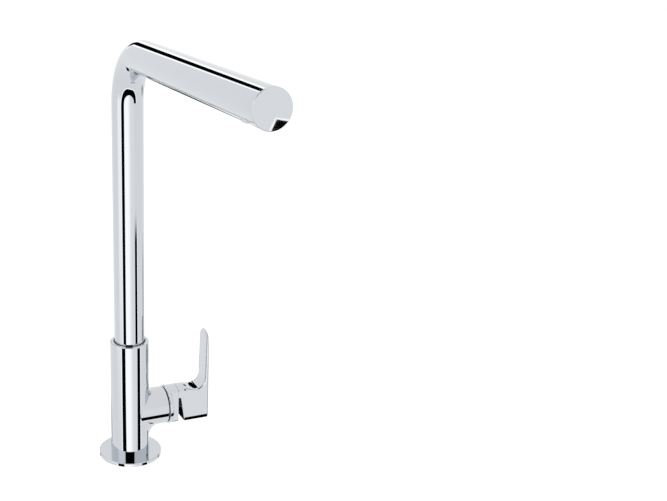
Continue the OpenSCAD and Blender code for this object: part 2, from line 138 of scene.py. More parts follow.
room = bpy.data.worlds.new("studio")
room.use_nodes = True
bpy.context.scene.world = room
tree = room.node_tree
tree.nodes.clear()
towards = add(tree, "ShaderNodeSeparateXYZ", n0=add(tree, "ShaderNodeTexCoord").outputs["Generated"])
east, north = towards.outputs[0], towards.outputs[1]
turn = calc(tree, "DEGREES", calc(tree, "ARCTAN2", east, calc(tree, "MULTIPLY", north, -1)))
back_turn = calc(tree, "DEGREES", calc(tree, "ARCTAN2", east, north))
tilt = calc(tree, "DEGREES", calc(tree, "ARCSINE", towards.outputs[2]))

inner, outer = arch(tree, turn, tilt, *INNER_BOW), arch(tree, turn, tilt, *OUTER_BOW)
inside = calc(tree, "SUBTRACT", 1, soft_step(tree, inner, *INNER_EDGE))
within = calc(tree, "SUBTRACT", 1, soft_step(tree, outer, *OUTER_EDGE))
rim = calc(tree, "SUBTRACT", 1, soft_step(tree, outer, *RIM_EDGE))
legs = between(tree, tilt, -90, LEG_TOP, 4)
gap = calc(tree, "MULTIPLY", soft_step(tree, turn, *GAP_TURN), soft_step(tree, tilt, *GAP_TILT))
frame_part = calc(tree, "MULTIPLY", legs, calc(tree, "SUBTRACT", 1, gap))
board = paint(tree, BOARD_RIGHT, soft_step(tree, turn, *BOARD_FADE), BOARD_LEFT)
level = patch(tree, ROOM, LEFT_GLOW, turn, -88, -60, -16, 30, 16)
level = paint(tree, level, calc(tree, "MULTIPLY", rim, frame_part), RIM)
level = paint(tree, level, calc(tree, "MULTIPLY", within, frame_part), BLACK)
level = paint(tree, level, calc(tree, "MULTIPLY", inside, legs), board)
for spot in ((BLACK, turn, -48, 6, 21, 60, 2),            # above the frame, seen in rounded edges
             (RIM, back_turn, -5, 13, 8, 44, 2),          # white board behind
             (BLACK, back_turn, -2, 8, 8, 44, 1),         # black strip on that board
             (BLACK, back_turn, -17, -8, -36, -28, 2),    # seen in the lever's notch
             (BLACK, back_turn, 10, 18, -22, -10, 1),     # seen along the arm's underside
             (0.3, turn, 107, 117, -30, -20, 3),          # greys seen near the right outlines
             (0.45, turn, 107, 117, 22, 32, 3)):
    level = patch(tree, level, *spot)
ray = add(tree, "ShaderNodeLightPath")
direct = calc(tree, "MAXIMUM", ray.outputs["Is Camera Ray"], ray.outputs["Is Transmission Ray"])
unseen = paint(tree, AMBIENT, direct, BACKGROUND)
strength = paint(tree, unseen, ray.outputs["Is Glossy Ray"], level)
sky = add(tree, "ShaderNodeBackground", Color=(1, 1, 1, 1), Strength=strength)
add(tree, "ShaderNodeOutputWorld", Surface=sky.outputs[0])
MERGE, SHORT = 0.002 * MM, 0.001 * MM    # points closer than these become one


def mesh_piece(name, points, faces):
    """Object at the origin with that mesh, its doubles merged and its faces pointing outwards."""
    mesh = bpy.data.meshes.new(name)
    mesh.from_pydata([tuple(p) for p in points], [], [tuple(int(i) for i in f) for f in faces])
    made = bmesh.new()
    made.from_mesh(mesh)
    bmesh.ops.remove_doubles(made, verts=made.verts, dist=MERGE)
    bmesh.ops.dissolve_degenerate(made, edges=made.edges, dist=SHORT)
    bmesh.ops.recalc_face_normals(made, faces=made.faces)
    made.to_mesh(mesh)
    made.free()
    piece = bpy.data.objects.new(name, mesh)
    bpy.context.scene.collection.objects.link(piece)
    return piece


def new_material(name):
    """Material with its tree and its shader node."""
    material = bpy.data.materials.new(name)
    material.use_nodes = True
    return material, material.node_tree, material.node_tree.nodes["Principled BSDF"]


FLOOR_HALF, FLOOR_Z = 6.0, -0.2 * MM
PAPER_GREY, PAPER_GLOW = 0.42, 0.79
corners = [(x * FLOOR_HALF, y * FLOOR_HALF, FLOOR_Z) for x, y in ((-1, -1), (1, -1), (1, 1), (-1, 1))]
floor = mesh_piece("floor", corners, [(0, 1, 2, 3)])
paper, tree, shader = new_material("white_paper")
tree.nodes.remove(shader)
ray = add(tree, "ShaderNodeLightPath")
matt = add(tree, "ShaderNodeBsdfDiffuse", Color=(PAPER_GREY, PAPER_GREY, PAPER_GREY, 1))
camera_glow = calc(tree, "MULTIPLY", ray.outputs["Is Camera Ray"], PAPER_GLOW)
glow = add(tree, "ShaderNodeEmission", Strength=camera_glow)
white = add(tree, "ShaderNodeAddShader", n0=matt.outputs[0], n1=glow.outputs[0])
clear = add(tree, "ShaderNodeBsdfTransparent")
seen = add(tree, "ShaderNodeMixShader", Fac=ray.outputs["Is Glossy Ray"], n1=white.outputs[0],
           n2=clear.outputs[0])
tree.links.new(seen.outputs[0], tree.nodes["Material Output"].inputs["Surface"])
floor.data.materials.append(paper)
AIM_Z, LAMP_SIZE = 0.15, 1.2


def soft_lamp(name, place, watts):
    """Large square lamp that faces the mixer's middle. The chrome sees the room, not the lamp."""
    lamp = bpy.data.lights.new(name, "AREA")
    lamp.size = LAMP_SIZE
    lamp.energy = watts
    holder = bpy.data.objects.new(name, lamp)
    bpy.context.scene.collection.objects.link(holder)
    holder.location = place
    aim = holder.location.copy()
    aim.z -= AIM_Z
    holder.rotation_euler = aim.to_track_quat("Z", "Y").to_euler()
    holder.visible_glossy = False


soft_lamp("key_lamp", (-1.1, -1.3, 1.9), 16)
soft_lamp("fill_lamp", (1.5, -0.5, 1.4), 7)
soft_lamp("back_lamp", (0.2, 1.8, 1.6), 6)


def board_finish(name, glow):
    """Finish of a studio card: it shows at that brightness in the chrome."""
    material, tree, shader = new_material(name)
    tree.nodes.remove(shader)
    light = add(tree, "ShaderNodeEmission", Color=(1, 1, 1, 1), Strength=glow)
    tree.links.new(light.outputs[0], tree.nodes["Material Output"].inputs["Surface"])
    return material


def card(name, y, outline, material):
    """Upright card seen only in the chrome, from its (x, z) outline in millimetres."""
    made = mesh_piece(name, [(x * MM, y * MM, z * MM) for x, z in outline], [range(len(outline))])
    made.data.materials.append(material)
    for kind in ("camera", "diffuse", "shadow", "transmission"):
        setattr(made, "visible_" + kind, False)


# A black card on a white one before the arm's end, for the end cap's corner, and a black one behind
# the lever, for the bottom of its hollow
felt, white_board = board_finish("black_felt", 0.0), board_finish("white_board", 1.5)
card("end_card", -381, [(68, 307.5), (83.6, 304.2), (80.4, 290.8), (61.6, 294.3)], felt)
card("end_card_border", -382, [(67.6, 308.6), (85, 305.4), (80.4, 290), (60.1, 294.3)], white_board)
card("hollow_card", 20, [(60.7, 58.8), (66.8, 58.8), (68.5, 66), (69.5, 70), (66, 72), (60.7, 72)],
     felt)

# ---- Finishes ----
# Bright chrome plate on brass, bare turned brass, ground steel, rubber and moulded plastics. Each
# takes its small unevenness from one of two shared effects, the polish and the grain.


def effect(name, inputs, outputs):
    """Shader node group with those named sockets: its tree, its input node and its output node."""
    group = bpy.data.node_groups.new(name, "ShaderNodeTree")
    for label, kind, value in inputs:
        socket = group.interface.new_socket(label, in_out="INPUT", socket_type=kind)
        if value is not None:
            socket.default_value = value
    for label, kind in outputs:
        group.interface.new_socket(label, in_out="OUTPUT", socket_type=kind)
    return group, group.nodes.new("NodeGroupInput"), group.nodes.new("NodeGroupOutput")


NUMBER, COLOUR, VECTOR = "NodeSocketFloat", "NodeSocketColor", "NodeSocketVector"
BUMP = 0.5

# Polish: cloudy haze from wiping, and fine scratches that run along Z
polish, given, result = effect(
    "polish", [("Vector", VECTOR, None), ("Roughness", NUMBER, 0.03), ("Haze", NUMBER, 0.02),
               ("Scratch Scale", NUMBER, 900.0)], [("Roughness", NUMBER), ("Height", NUMBER)])
clouds = add(polish, "ShaderNodeTexNoise", Vector=given.outputs["Vector"], Scale=28.0, Detail=3.0)
stretch = add(polish, "ShaderNodeVectorMath", {"operation": "MULTIPLY"}, n0=given.outputs["Vector"],
              n1=(1.0, 1.0, 0.06))
scratches = add(polish, "ShaderNodeTexNoise", Vector=stretch.outputs[0],
                Scale=given.outputs["Scratch Scale"], Detail=2.0)
hazy = calc(polish, "MULTIPLY", calc(polish, "POWER", clouds.outputs[0], 2), given.outputs["Haze"])
fine = calc(polish, "MULTIPLY", scratches.outputs[0], given.outputs["Haze"])
total = calc(polish, "ADD", given.outputs["Roughness"],
             calc(polish, "ADD", hazy, calc(polish, "MULTIPLY", fine, 0.5)))
polish.links.new(total, result.inputs["Roughness"])
polish.links.new(scratches.outputs[0], result.inputs["Height"])

# Grain: speckle of moulded plastic and rubber, with a slow drift in colour
grain, given, result = effect(
    "grain", [("Vector", VECTOR, None), ("Scale", NUMBER, 1500.0),
              ("Base", COLOUR, (0.5, 0.5, 0.5, 1)), ("Drift", NUMBER, 0.08),
              ("Roughness", NUMBER, 0.5)],
    [("Color", COLOUR), ("Roughness", NUMBER), ("Height", NUMBER)])
speckle = add(grain, "ShaderNodeTexNoise", Vector=given.outputs["Vector"],
              Scale=given.outputs["Scale"], Detail=4.0)
patches = add(grain, "ShaderNodeTexNoise", Vector=given.outputs["Vector"], Scale=70.0, Detail=2.0)
shift = calc(grain, "MULTIPLY", calc(grain, "SUBTRACT", patches.outputs[0], 0.5),
             given.outputs["Drift"])
toned = add(grain, "ShaderNodeHueSaturation", Value=calc(grain, "ADD", 1.0, shift),
            Color=given.outputs["Base"])
rough = calc(grain, "ADD", given.outputs["Roughness"],
             calc(grain, "MULTIPLY", calc(grain, "SUBTRACT", speckle.outputs[0], 0.5), 0.25))
grain.links.new(toned.outputs[0], result.inputs["Color"])
grain.links.new(rough, result.inputs["Roughness"])
grain.links.new(speckle.outputs[0], result.inputs["Height"])


def metal(name, colour, roughness, haze, relief, scratch_scale=900.0):
    """Metal finish with the polish effect. Relief is the height of its fine lines in metres."""
    material, tree, shader = new_material(name)
    place = add(tree, "ShaderNodeTexCoord").outputs["Object"]
    shader.inputs["Base Color"].default_value = (*colour, 1)
    shader.inputs["Metallic"].default_value = 1.0
    made = add(tree, "ShaderNodeGroup", {"node_tree": polish}, Vector=place, Roughness=roughness,
               Haze=haze, Scratch_Scale=scratch_scale)
    bump = add(tree, "ShaderNodeBump", Strength=BUMP, Distance=relief, Height=made.outputs["Height"])
    tree.links.new(made.outputs["Roughness"], shader.inputs["Roughness"])
    tree.links.new(bump.outputs[0], shader.inputs["Normal"])
    return material


def moulded(name, colour, roughness, scale, relief, drift=0.08):
    """Plastic, rubber or ceramic finish with the grain effect."""
    material, tree, shader = new_material(name)
    place = add(tree, "ShaderNodeTexCoord").outputs["Object"]
    made = add(tree, "ShaderNodeGroup", {"node_tree": grain}, Vector=place, Scale=scale,
               Base=(*colour, 1), Drift=drift, Roughness=roughness)
    bump = add(tree, "ShaderNodeBump", Strength=BUMP, Distance=relief, Height=made.outputs["Height"])
    tree.links.new(made.outputs["Color"], shader.inputs["Base Color"])
    tree.links.new(made.outputs["Roughness"], shader.inputs["Roughness"])
    tree.links.new(bump.outputs[0], shader.inputs["Normal"])
    return material


chrome = metal("chrome_plate", (0.625, 0.65, 0.685), 0.012, 0.03, 1e-8)
brass = metal("turned_brass", (0.71, 0.50, 0.24), 0.22, 0.2, 4e-6, 700.0)
steel = metal("ground_steel", (0.50, 0.51, 0.53), 0.25, 0.25, 4e-6, 1200.0)
# Painted shade: the lever's steel stem gets a near-black colour, so the gap at the lever's root shows
# dark where a plain steel stem would show bright
gap_shade_steel = metal("blackened_steel", (0.03, 0.03, 0.032), 0.35, 0.2, 3e-6, 1200.0)
rubber = moulded("black_rubber", (0.022, 0.022, 0.023), 0.62, 2600.0, 6e-6, 0.3)
ivory = moulded("ivory_slide_plastic", (0.78, 0.73, 0.60), 0.42, 1800.0, 4e-6)
dark = moulded("dark_slide_plastic", (0.035, 0.036, 0.04), 0.45, 1800.0, 4e-6, 0.2)
white_plastic = moulded("white_cartridge_plastic", (0.80, 0.80, 0.77), 0.38, 1600.0, 4e-6)
red_plastic = moulded("red_cartridge_plastic", (0.56, 0.075, 0.05), 0.36, 1600.0, 4e-6, 0.15)
ceramic = moulded("lapped_ceramic", (0.83, 0.81, 0.75), 0.10, 3000.0, 5e-7, 0.04)


def dress(material, *names):
    """Gives CAD nodes that keep their own mesh their finish."""
    for name in names:
        mesh = frame["nodes"][name].data
        mesh.materials.clear()
        mesh.materials.append(material)


# ---- Base flange and its seal ----
# Turned and plated ring with an eased top edge, which covers the tap hole. A flat rubber ring
# lies in the groove on its underside.
EDGE_STEP = 0.02 * MM     # a row this close to a rounding keeps the flat beside it shaded flat


def eased_outline(corners, arc_steps=6):
    """Closed outline through (r, z, radius) corners, each rounded by its radius."""
    made = []
    count = len(corners)
    for i, (r, z, radius) in enumerate(corners):
        here = np.array((r, z))
        if radius == 0:
            made.append(here)
            continue
        back = np.array(corners[i - 1][:2]) - here
        ahead = np.array(corners[(i + 1) % count][:2]) - here
        back, ahead = back / np.linalg.norm(back), ahead / np.linalg.norm(ahead)
        half = math.acos(np.clip(back @ ahead, -1, 1)) / 2
        centre = here + (back + ahead) / np.linalg.norm(back + ahead) * radius / math.sin(half)
        start = here + back * radius / math.tan(half) - centre
        end = here + ahead * radius / math.tan(half) - centre
        sweep = math.pi - 2 * half
        made.append(centre + start + back * EDGE_STEP)
        for k in range(arc_steps + 1):
            t = k / arc_steps
            spoke = start * math.sin((1 - t) * sweep) + end * math.sin(t * sweep)
            made.append(centre + spoke / math.sin(sweep))
        made.append(centre + end + ahead * EDGE_STEP)
    return made


def turned(name, outline, turns=192):
    """Solid of a closed (r, z) outline turned round the Z axis."""
    angles = np.arange(turns) * 2 * math.pi / turns
    points = [(r * math.cos(a), r * math.sin(a), z) for r, z in outline for a in angles]
    rows = len(outline)
    faces = [(i * turns + j, i * turns + (j + 1) % turns, (i + 1) % rows * turns + (j + 1) % turns,
              (i + 1) % rows * turns + j) for i in range(rows) for j in range(turns)]
    return mesh_piece(name, points, faces)


def smooth(piece, degrees=32):
    """Smooth shading, with edges sharper than that angle kept."""
    piece.data.shade_smooth()
    piece.data.set_sharp_from_angle(angle=math.radians(degrees))


def finish(piece, material, body, slot, *nodes):
    """Gives a piece its material and body, and hides the CAD nodes it stands for."""
    piece.data.materials.clear()
    piece.data.materials.append(material)
    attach(piece, body)
    if nodes:
        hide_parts(*nodes)


flange_high, seal_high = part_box("base_flange")[1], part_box("base_seal")[1]
HAIR = 0.05 * MM          # easing of edges that are only deburred, and a close clearance
FLANGE_EASE, FLANGE_FOOT_EASE = 0.55 * MM, 0.2 * MM
hole_r = 15.25 * MM
groove_in, groove_out = 17.15 * MM, seal_high.x + HAIR
flange = turned("flange_ring", eased_outline([
    (hole_r, 0, HAIR), (groove_in, 0, HAIR), (groove_in, seal_high.z, 0),
    (groove_out, seal_high.z, 0), (groove_out, 0, HAIR), (flange_high.x, 0, FLANGE_FOOT_EASE),
    (flange_high.x, flange_high.z, FLANGE_EASE), (hole_r, flange_high.z, HAIR)]))
smooth(flange)
finish(flange, chrome, "base", "chrome", "base_flange")
dress(rubber, "base_seal")

# ---- Body ----
# Brass casting, ground and plated: an upright barrel and a side housing a little slimmer. The seam
# between them is a small hollow above that widens into a round web below, and meets both smoothly.
body_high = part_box("body_casting")[1]
TURN_AXIS = frame["joints"][1]["pos_m"]
axis_z = TURN_AXIS[2]
barrel_r, housing_r = body_high.y, 15.7 * MM
UPPER_HOLLOW, CREST_HOLLOW, LOWER_HOLLOW = 1.4 * MM, 2.6 * MM, 10 * MM
HOLLOW_FROM, HOLLOW_TO = 0, -60        # degrees above the front between which it widens
CREST_FROM = 0.6                       # sine of that angle where the crest's extra hollow begins
RIM_EASE, FACE_EASE = 0.9 * MM, 0.3 * MM
washer_low, washer_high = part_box("spout_thrust_washer")
socket_r, shoulder_z = washer_high.x + HAIR, washer_low.z
seal_bore_r, socket_floor = 11 * MM, 56.95 * MM
nut_r, nut_back, bore_r = 14 * MM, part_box("cartridge_nut")[0].x, 13.35 * MM
bore_end = -5 * MM
spigot_r, spigot_ease = 15.2 * MM, 0.3 * MM
SIDE, BACK = 96, 144                   # columns round half the seam, and round the barrel's back
SEAM_ROWS, HOUSING_ROWS, UPPER_ROWS, LOWER_ROWS = 30, 8, 14, 10
NEAR_END = 0.002                       # share of a stretch at which an extra row keeps its ends true

# One column for each angle round the housing, from the top over the front, the bottom and the back
spins = math.pi / 2 - np.arange(2 * SIDE) * math.pi / SIDE
above_front = np.degrees(np.arcsin(np.sin(spins)))
widen = np.clip((above_front - HOLLOW_FROM) / (HOLLOW_TO - HOLLOW_FROM), 0, 1)
crest = np.clip((np.sin(spins) - CREST_FROM) / (1 - CREST_FROM), 0, 1) ** 2
hollow = (UPPER_HOLLOW + CREST_HOLLOW * crest
          + (LOWER_HOLLOW - UPPER_HOLLOW) * widen ** 2 * (3 - 2 * widen))
ball_y, ball_z = -(housing_r + hollow) * np.cos(spins), (housing_r + hollow) * np.sin(spins)
ball = np.stack((np.sqrt((barrel_r + hollow) ** 2 - ball_y ** 2), ball_y, ball_z), axis=1)
on_barrel = ball * np.stack([barrel_r / (barrel_r + hollow)] * 2 + [np.ones(2 * SIDE)], axis=1)
on_housing = ball * np.stack([np.ones(2 * SIDE)] + [housing_r / (housing_r + hollow)] * 2, axis=1)
for ring in (ball, on_barrel, on_housing):
    ring[:, 2] += axis_z


def sheet_of(rows, points, faces, closed=False):
    """Adds the quads between successive rows of points."""
    start, width = len(points), len(rows[0])
    for row in rows:
        points.extend(row)
    for i in range(len(rows) - 1):
        for j in range(width if closed else width - 1):
            k = (j + 1) % width
            low, high = start + i * width, start + (i + 1) * width
            faces.append((low + j, low + k, high + k, high + j))


def stretch(row, count, **ends):
    """Rows from a row of points along one axis, up to that end value of x or z."""
    (name, end), = ends.items()
    axis = "xyz".index(name)
    rows = []
    for t in sorted([NEAR_END, 1 - NEAR_END, *np.linspace(0, 1, count)]):
        moved = row.copy()
        moved[:, axis] += (end - row[:, axis]) * t
        rows.append(moved)
    return rows


def arc_rows(middle, start, end, count):
    """Rows along the arcs round each middle point, from start to end."""
    a, b = start - middle, end - middle
    size = (a ** 2).sum(1)
    sweep = np.arccos(np.clip((a * b).sum(1) / size, -1, 1))[:, None]
    return [middle + (a * np.sin((1 - t) * sweep) + b * np.sin(t * sweep)) / np.sin(sweep)
            for t in np.linspace(0, 1, count)]


def round_rows(profile, angles, place):
    """Rows of a (radius, height) profile turned full circle. Place puts them into the frame."""
    return [np.array([place(r, a, h) for a in angles]) for r, h in profile]


def quarter(radius, height, ease, steps=7):
    """Profile of an outer edge at that radius, rounded inwards and upwards by ease."""
    arc = [(radius - ease * (1 - math.cos(a)), height + ease * math.sin(a))
           for a in np.linspace(0, math.pi / 2, steps)]
    return arc + [(radius - ease - EDGE_STEP, height + ease)]


def upright(r, a, h):
    return r * math.cos(a), r * math.sin(a), h


def sideways(r, a, h):
    return h, -r * math.cos(a), axis_z + r * math.sin(a)


rim_z, face_x = body_high.z - RIM_EASE, body_high.x - FACE_EASE
front, rear = SIDE // 2, 3 * SIDE // 2
over_top = [k % (2 * SIDE) for k in range(front, front - SIDE - 1, -1)]
under = list(range(front, rear + 1))
turn_to = math.atan2(on_barrel[rear][1], on_barrel[rear][0])
behind = np.linspace(turn_to, 2 * math.pi - turn_to, BACK + 1)
waist = np.array([upright(barrel_r, a, axis_z) for a in behind])
points, faces = [], []
sheet_of(arc_rows(ball, on_barrel, on_housing, SEAM_ROWS), points, faces, True)
sheet_of(stretch(on_housing, HOUSING_ROWS, x=face_x), points, faces, True)
sheet_of(stretch(on_barrel[over_top], UPPER_ROWS, z=rim_z), points, faces)
sheet_of(stretch(on_barrel[under], LOWER_ROWS, z=flange_high.z), points, faces)
sheet_of(stretch(waist, UPPER_ROWS, z=rim_z), points, faces)
sheet_of(stretch(waist, LOWER_ROWS, z=flange_high.z), points, faces)
top_angles = [math.atan2(y, x) for x, y, z in on_barrel[over_top]] + list(behind[1:-1])
foot_angles = [math.atan2(y, x) for x, y, z in on_barrel[under]] + list(behind[1:-1])
rim = quarter(barrel_r, rim_z, RIM_EASE) + [
    (socket_r + HAIR, body_high.z), (socket_r, body_high.z - HAIR), (socket_r, shoulder_z),
    (seal_bore_r, shoulder_z), (seal_bore_r, socket_floor), (0, socket_floor)]
sheet_of(round_rows(rim, top_angles, upright), points, faces, True)
mouth = quarter(housing_r, face_x, FACE_EASE) + [
    (nut_r + HAIR, body_high.x), (nut_r, body_high.x - HAIR), (nut_r, nut_back), (bore_r, nut_back),
    (bore_r, bore_end), (0, bore_end)]
sheet_of(round_rows(mouth, spins, sideways), points, faces, True)
foot = [(barrel_r, flange_high.z), (spigot_r, flange_high.z), (spigot_r, spigot_ease),
        (spigot_r - spigot_ease, 0), (0, 0)]
sheet_of(round_rows(foot, foot_angles, upright), points, faces, True)
body = mesh_piece("body_shell", points, faces)


def rod(name, low, high, radius, along="Z", sides=64):
    """Plain cutter between two heights along an axis, at the given place across it."""
    angles = np.arange(sides) * 2 * math.pi / sides
    ring = np.stack((np.cos(angles), np.sin(angles))) * radius
    points = []
    for end in (low, high):
        for u, v in ring.T:
            y, z = (end[1] + v, end[2]) if along == "Z" else (end[1], end[2] + v)
            points.append((end[0] + u, y, z))
    faces = [(i, (i + 1) % sides, sides + (i + 1) % sides, sides + i) for i in range(sides)]
    faces += [tuple(range(sides)), tuple(range(2 * sides - 1, sides - 1, -1))]
    return mesh_piece(name, points, faces)


def drill(piece, *cutters):
    """Cuts each of those shapes out of the piece."""
    for cutter in cutters:
        cut = piece.modifiers.new("cut", "BOOLEAN")
        cut.operation = "DIFFERENCE"
        cut.solver = "EXACT"
        cut.object = cutter
        evaluated = piece.evaluated_get(bpy.context.evaluated_depsgraph_get())
        mesh = bpy.data.meshes.new_from_object(evaluated)
        piece.modifiers.remove(cut)
        piece.data = mesh
        bpy.data.objects.remove(cutter)


OVER = 1 * MM
PORT_X, PORT_Y, PORT_R, PORT_DEPTH = -6.3 * MM, 6.2 * MM, 4.5 * MM, 12 * MM
STUD_X, STUD_R, STUD_DEPTH = 8 * MM, 3.4 * MM, 16 * MM
stop_low, stop_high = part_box("spout_stop_screw")
stop_z = (stop_low.z + stop_high.z) / 2
stop_r = stop_high.x + HAIR
drill(body,
      rod("port", (PORT_X, PORT_Y, -OVER), (PORT_X, PORT_Y, PORT_DEPTH), PORT_R),
      rod("port", (PORT_X, -PORT_Y, -OVER), (PORT_X, -PORT_Y, PORT_DEPTH), PORT_R),
      rod("stud", (STUD_X, 0, -OVER), (STUD_X, 0, STUD_DEPTH), STUD_R),
      rod("stop", (0, seal_bore_r - OVER, stop_z), (0, barrel_r + OVER, stop_z), stop_r, "Y"))
smooth(body)
finish(body, chrome, "base", "chrome", "body_casting")
dress(steel, "spout_stop_screw")
dress(ivory, "spout_thrust_washer", "spout_lower_bush")
dress(dark, "spout_upper_bush")

# ---- Cartridge ----
# Ceramic disc cartridge in the housing: white plastic shell and foot, red turning guide and carrier,
# two lapped discs, three port seals, a steel tilt pin, and the brass ring nut that holds it.
dress(white_plastic, "cartridge_base", "cartridge_shell")
dress(red_plastic, "cartridge_rotor", "disc_carrier")
dress(ceramic, "fixed_disc", "moving_disc")
dress(rubber, "cartridge_port_seals", "cap_seal")
dress(steel, "tilt_pin")
dress(brass, "cartridge_nut")

# ---- Turning cap ----
# Plated zinc cap that turns with the lever: a round disc that closes the housing, and a neck with two
# flats that carries the disc's round top on to the lever.
PROBE = 0.02 * MM                # reach for measuring a slope
ROUNDS, LEAST_SLOPE = 6, 0.2     # how often, and how carefully, points are moved on to the skin


def carved(name, shape, low, high, step):
    """Closed skin of the solid where shape(x, y, z) is negative: one point for each cell of a grid
    that the surface crosses, moved on to the surface, with the shape's own slope as its normal."""
    axes = [np.arange(low[i] - 1.5 * step, high[i] + 2.5 * step, step) for i in range(3)]
    field = shape(axes[0][:, None, None], axes[1][None, :, None], axes[2][None, None, :])
    solid = field < 0
    cells = np.full(np.array(field.shape) - 1, -1)
    owners, places, quads = [], [], []
    for axis in range(3):
        first = [slice(None)] * 3
        second = [slice(None)] * 3
        first[axis], second[axis] = slice(None, -1), slice(1, None)
        first, second = tuple(first), tuple(second)
        crossing = np.argwhere(solid[first] != solid[second])
        sides = [k for k in range(3) if k != axis]
        across = crossing[:, sides]
        crossing = crossing[((across > 0) & (across < np.array(cells.shape)[sides])).all(axis=1)]
        near, far = crossing.copy(), crossing.copy()
        far[:, axis] += 1
        a, b = field[tuple(near.T)], field[tuple(far.T)]
        where = np.stack([axes[k][near[:, k]] for k in range(3)], axis=1)
        where[:, axis] += step * a / (a - b)
        ring = []
        for corner in ((0, 0), (1, 0), (1, 1), (0, 1)):
            cell = crossing.copy()
            cell[:, sides] -= corner
            ring.append(np.ravel_multi_index(tuple(cell.T), cells.shape))
        quads.append(np.stack(ring, axis=1))
        owners += ring
        places += [where] * 4
    used, order = np.unique(np.concatenate(owners), return_inverse=True)
    total = np.zeros((len(used), 3))
    np.add.at(total, order, np.concatenate(places))
    points = total / np.bincount(order)[:, None]
    lookup = np.full(cells.size, -1)
    lookup[used] = np.arange(len(used))
    for _ in range(ROUNDS):
        slope = slope_of(shape, points)
        steepness = np.maximum((slope ** 2).sum(1), LEAST_SLOPE)
        stride = np.clip(shape(*points.T) / steepness, -step / 3, step / 3)
        points = points - slope * stride[:, None]
    piece = mesh_piece(name, points, lookup[np.concatenate(quads)])
    piece.data.shade_smooth()
    where = np.array([v.co for v in piece.data.vertices])
    slope = slope_of(shape, where)
    slope /= np.linalg.norm(slope, axis=1)[:, None]
    piece.data.normals_split_custom_set_from_vertices(slope.tolist())
    return piece


def slope_of(shape, points):
    """Direction in which the shape's value rises at each point."""
    slope = np.empty_like(points)
    for k in range(3):
        nudge = np.zeros(3)
        nudge[k] = PROBE
        slope[:, k] = (shape(*(points + nudge).T) - shape(*(points - nudge).T)) / (2 * PROBE)
    return slope


def both(a, b, ease=0.0):
    """Solid common to two shapes, its new outer edges rounded by ease."""
    if np.ndim(ease) == 0 and ease == 0:
        return np.maximum(a, b)
    rounded = np.hypot(np.maximum(a + ease, 0), np.maximum(b + ease, 0))
    return np.minimum(np.maximum(a, b), -ease) + rounded


def either(a, b, ease=0.0):
    """Two shapes joined, their new inner corners rounded by ease."""
    return -both(-a, -b, ease)


def bar(x, low, high):
    """Slab between two values of x."""
    return np.maximum(low - x, x - high)


cap_low, cap_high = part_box("turning_cap")
cap_r, cap_disc = cap_high.y, 3.5 * MM
lever_low, lever_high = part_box("lever_handle")
half_width = lever_high.y
neck_r, neck_half = 11.35 * MM, 7.35 * MM
neck_end = 37.35 * MM
slot_half, slot_down, slot_up = 3.8 * MM, 11.1 * MM, 4.1 * MM
NECK_START, JOINT = 1 * MM, 0.04 * MM      # past the cap's back, and before the lever
DISC_EASE, NECK_EASE, NECK_ROOT = 0.7 * MM, 0.8 * MM, 0.5 * MM
CARVE_STEP = 0.36 * MM


def cap_shape(x, y, z):
    up = z - axis_z
    out = np.hypot(y, up)
    disc = both(out - cap_r, bar(x, cap_low.x, cap_low.x + cap_disc), DISC_EASE)
    sides = both(out - cap_r, np.abs(y) - half_width, NECK_EASE)
    neck = both(sides, bar(x, cap_low.x + NECK_START, lever_low.x - JOINT), HAIR)
    solid = either(disc, neck, NECK_ROOT)
    socket = both(both(out - neck_r, np.abs(y) - neck_half), x - neck_end)
    slot = np.maximum(np.abs(y) - slot_half, bar(up, -slot_down, slot_up))
    return both(both(solid, -socket), -slot)


cap_end = (lever_low.x, cap_high.y, cap_high.z)
cap = carved("turning_cap_shell", cap_shape, cap_low, cap_end, CARVE_STEP)
finish(cap, chrome, "turner", "chrome", "turning_cap")

# ---- Lever ----
# Plated zinc block and upright blade, cast in one: the block's round top runs on from the cap's neck,
# a scoop leads up to the blade, and a notch below gives room for the tilt.
SCOOP_R, SCOOP_UP, SCOOP_X = 9.2 * MM, 22.81 * MM, 56.1 * MM
BLADE_ROOT, BLADE_TIP = 3.1 * MM, 2.2 * MM
FLOOR_EASE, BLADE_EASE, CROWN_EASE, SCOOP_EASE = 0.4 * MM, 0.8 * MM, 0.9 * MM, 1.8 * MM
SIDE_CURVE_R, SIDE_CURVE_H = 16 * MM, 4.2 * MM
CROWN_FADE = 8                         # how fast the crown's limit opens past the scoop
NOTCH_UP, NOTCH_W, NOTCH_EASE, NOTCH_EDGE = 7.5 * MM, 2.1 * MM, 0.8 * MM, 0.3 * MM
NOTCH_LEAN = math.tan(math.radians(8.2))
POCKET_DEEPER = 0.3 * MM
TIP_DROP, TIP_EASE = 0.8 * MM, 1.2 * MM
tip_up = lever_high.z - axis_z
tip_centre = tip_up - half_width - TIP_DROP
curve_up = SIDE_CURVE_H - (axis_z - lever_low.z)
blade_slope = (BLADE_ROOT - BLADE_TIP) / (tip_up - SCOOP_UP)
stem_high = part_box("lever_stem")[1]
screw_x = sum(c.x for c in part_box("lever_grub_screw")) / 2
plug_r, plug_depth, screw_r = 3.25 * MM, 2 * MM, 2.55 * MM


